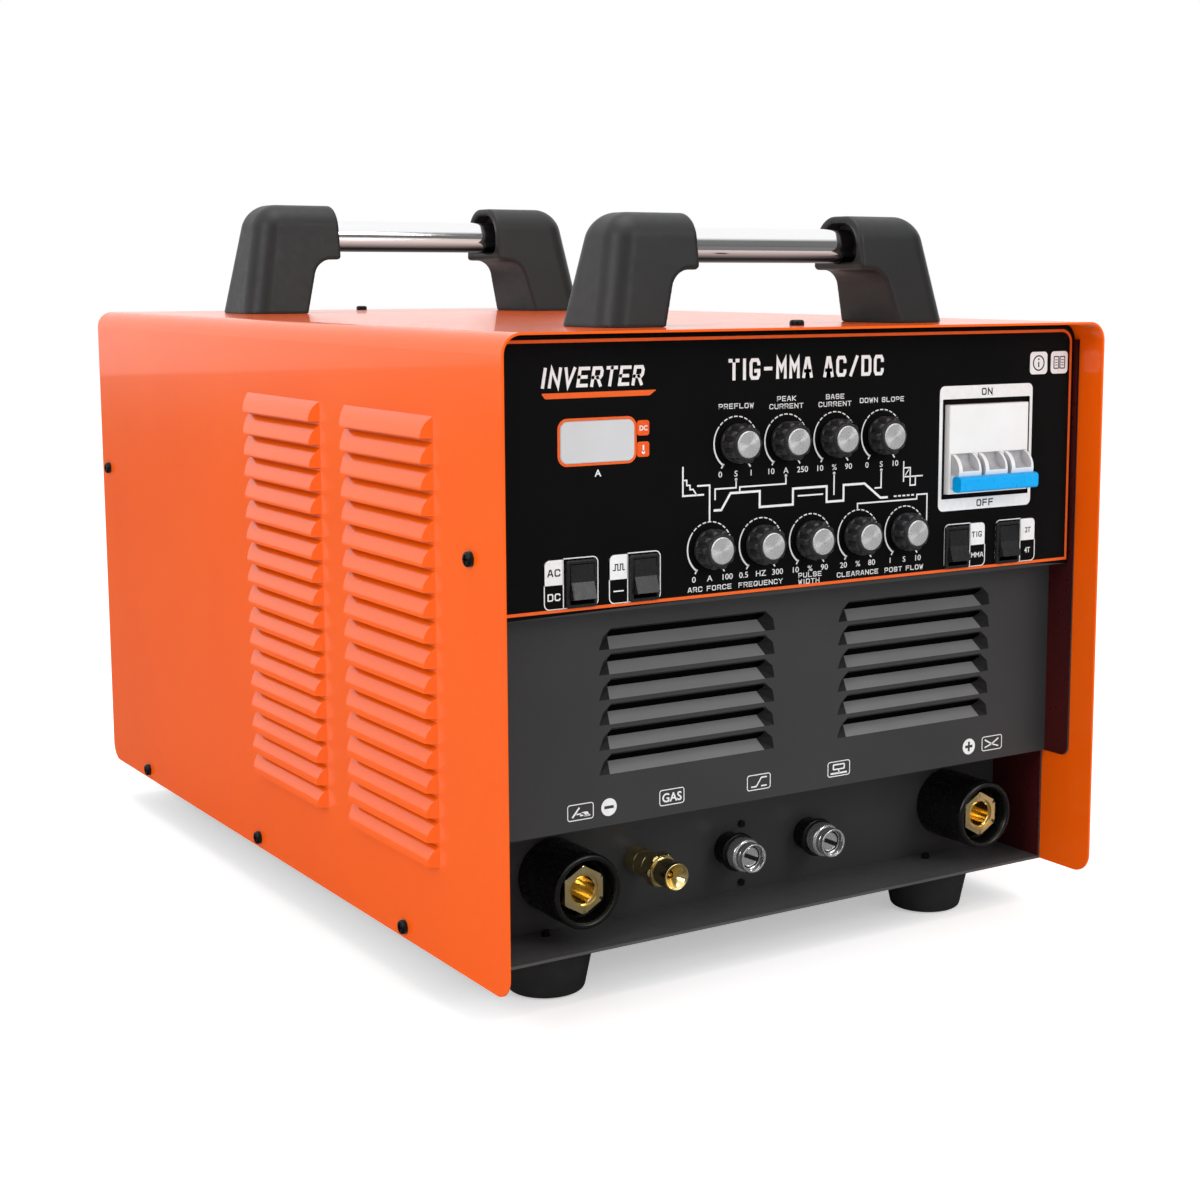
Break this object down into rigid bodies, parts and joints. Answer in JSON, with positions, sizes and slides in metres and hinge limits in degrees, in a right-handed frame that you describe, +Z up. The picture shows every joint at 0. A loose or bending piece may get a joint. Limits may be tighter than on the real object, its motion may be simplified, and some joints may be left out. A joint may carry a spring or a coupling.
{
  "type": "tig welding machine",
  "caption": "Inverter welding power source: bent sheet cover, knob and switch panel, breaker, recessed output sockets, two grab handles, rubber feet and a rear fan.",
  "frame": {"origin": "centre of the casing in X and Y, on the floor under the feet", "axes": "+Z up; the control panel faces -Y; +X is the viewer's right when facing the control panel"},
  "size_m": [0.376, 0.568, 0.3995],
  "materials": {
    "casing_orange": "satin",
    "chassis_black": "satin",
    "panel_grey": "satin",
    "overlay_black": "matt printed film on a backing plate",
    "foot_rubber": "matt",
    "screw_black": "blackened",
    "handle_grey": "fine textured",
    "grip_chrome": "polished",
    "steel": "plated",
    "switch_black": "glossy",
    "breaker_white": "satin",
    "tie_bar_blue": "glossy",
    "display_grey": "glossy, opaque when switched off",
    "lamp_orange": "glossy",
    "socket_black": "satin",
    "brass": "machined",
    "fan_black": "satin",
    "board_green": "satin",
    "heatsink_aluminium": "extruded",
    "winding_copper": "enamelled wire",
    "capacitor_black": "sleeved",
    "hose_black": "smooth",
    "knob_black": "satin",
    "cap_aluminium": "turned"
  },
  "bodies": {
    "casing": {"cover": "casing_orange", "base_pan": "chassis_black", "front_panel": "panel_grey", "front_overlay": "overlay_black", "rear_panel": "chassis_black", "rubber_feet": "foot_rubber", "casing_screws": "screw_black", "socket_screws": "screw_black", "front_handle_brackets": "handle_grey", "front_handle_tube": "grip_chrome", "rear_handle_brackets": "handle_grey", "rear_handle_tube": "grip_chrome", "handle_bolts": "steel", "potentiometers": "steel", "rocker_switch_bodies": "switch_black", "breaker_body": "breaker_white", "display_window": "display_grey", "indicator_lenses": "lamp_orange", "output_socket_collars": "socket_black", "output_socket_contacts": "brass", "gas_outlet": "brass", "control_socket_shells": "grip_chrome", "control_socket_collars": "socket_black", "cable_gland": "socket_black", "gas_inlet": "brass", "fan_guard": "grip_chrome", "fan_frame": "fan_black", "control_board": "board_green", "heatsinks": "heatsink_aluminium", "main_transformer": "winding_copper", "output_inductor": "winding_copper", "inverter_board": "board_green", "filter_capacitors": "capacitor_black", "gas_valve": "brass", "gas_hose": "hose_black"},
    "preflow_dial": {"preflow_knob": "knob_black", "preflow_knob_cap": "cap_aluminium"},
    "peak_current_dial": {"peak_current_knob": "knob_black", "peak_current_knob_cap": "cap_aluminium"},
    "base_current_dial": {"base_current_knob": "knob_black", "base_current_knob_cap": "cap_aluminium"},
    "down_slope_dial": {"down_slope_knob": "knob_black", "down_slope_knob_cap": "cap_aluminium"},
    "arc_force_dial": {"arc_force_knob": "knob_black", "arc_force_knob_cap": "cap_aluminium"},
    "frequency_dial": {"frequency_knob": "knob_black", "frequency_knob_cap": "cap_aluminium"},
    "pulse_width_dial": {"pulse_width_knob": "knob_black", "pulse_width_knob_cap": "cap_aluminium"},
    "clearance_dial": {"clearance_knob": "knob_black", "clearance_knob_cap": "cap_aluminium"},
    "post_flow_dial": {"post_flow_knob": "knob_black", "post_flow_knob_cap": "cap_aluminium"},
    "ac_dc_switch": {"ac_dc_rocker": "switch_black"},
    "pulse_switch": {"pulse_rocker": "switch_black"},
    "mode_switch": {"mode_rocker": "switch_black"},
    "trigger_switch": {"trigger_rocker": "switch_black"},
    "breaker_toggle": {"breaker_levers": "breaker_white", "breaker_tie_bar": "tie_bar_blue"},
    "fan": {"fan_rotor": "fan_black"}
  },
  "joints": [
    {"name": "preflow_turn", "type": "hinge", "parent": "casing", "child": "preflow_dial", "pos_m": [-0.0436, -0.264, 0.274], "axis": [0, 1, 0], "range_deg": [-150, 150]},
    {"name": "peak_current_turn", "type": "hinge", "parent": "casing", "child": "peak_current_dial", "pos_m": [-0.0134, -0.264, 0.274], "axis": [0, 1, 0], "range_deg": [-150, 150]},
    {"name": "base_current_turn", "type": "hinge", "parent": "casing", "child": "base_current_dial", "pos_m": [0.0168, -0.264, 0.274], "axis": [0, 1, 0], "range_deg": [-150, 150]},
    {"name": "down_slope_turn", "type": "hinge", "parent": "casing", "child": "down_slope_dial", "pos_m": [0.047, -0.264, 0.274], "axis": [0, 1, 0], "range_deg": [-150, 150]},
    {"name": "arc_force_turn", "type": "hinge", "parent": "casing", "child": "arc_force_dial", "pos_m": [-0.0589, -0.264, 0.2235], "axis": [0, 1, 0], "range_deg": [-150, 150]},
    {"name": "frequency_turn", "type": "hinge", "parent": "casing", "child": "frequency_dial", "pos_m": [-0.0284, -0.264, 0.2235], "axis": [0, 1, 0], "range_deg": [-150, 150]},
    {"name": "pulse_width_turn", "type": "hinge", "parent": "casing", "child": "pulse_width_dial", "pos_m": [0.0021, -0.264, 0.2235], "axis": [0, 1, 0], "range_deg": [-150, 150]},
    {"name": "clearance_turn", "type": "hinge", "parent": "casing", "child": "clearance_dial", "pos_m": [0.0326, -0.264, 0.2235], "axis": [0, 1, 0], "range_deg": [-150, 150]},
    {"name": "post_flow_turn", "type": "hinge", "parent": "casing", "child": "post_flow_dial", "pos_m": [0.0631, -0.264, 0.2235], "axis": [0, 1, 0], "range_deg": [-150, 150]},
    {"name": "ac_dc_rock", "type": "hinge", "parent": "casing", "child": "ac_dc_switch", "pos_m": [-0.1318, -0.262, 0.2124], "axis": [1, 0, 0], "range_deg": [0, 24]},
    {"name": "pulse_rock", "type": "hinge", "parent": "casing", "child": "pulse_switch", "pos_m": [-0.097, -0.262, 0.2124], "axis": [1, 0, 0], "range_deg": [0, 24]},
    {"name": "mode_rock", "type": "hinge", "parent": "casing", "child": "mode_switch", "pos_m": [0.0986, -0.262, 0.2124], "axis": [1, 0, 0], "range_deg": [0, 24]},
    {"name": "trigger_rock", "type": "hinge", "parent": "casing", "child": "trigger_switch", "pos_m": [0.1342, -0.262, 0.2124], "axis": [1, 0, 0], "range_deg": [0, 24]},
    {"name": "breaker_throw", "type": "hinge", "parent": "casing", "child": "breaker_toggle", "pos_m": [0.118, -0.2635, 0.253], "axis": [-1, 0, 0], "range_deg": [0, 70]},
    {"name": "fan_spin", "type": "hinge", "parent": "casing", "child": "fan", "pos_m": [0, 0.216, 0.19], "axis": [0, 1, 0], "continuous": true}
  ]
}
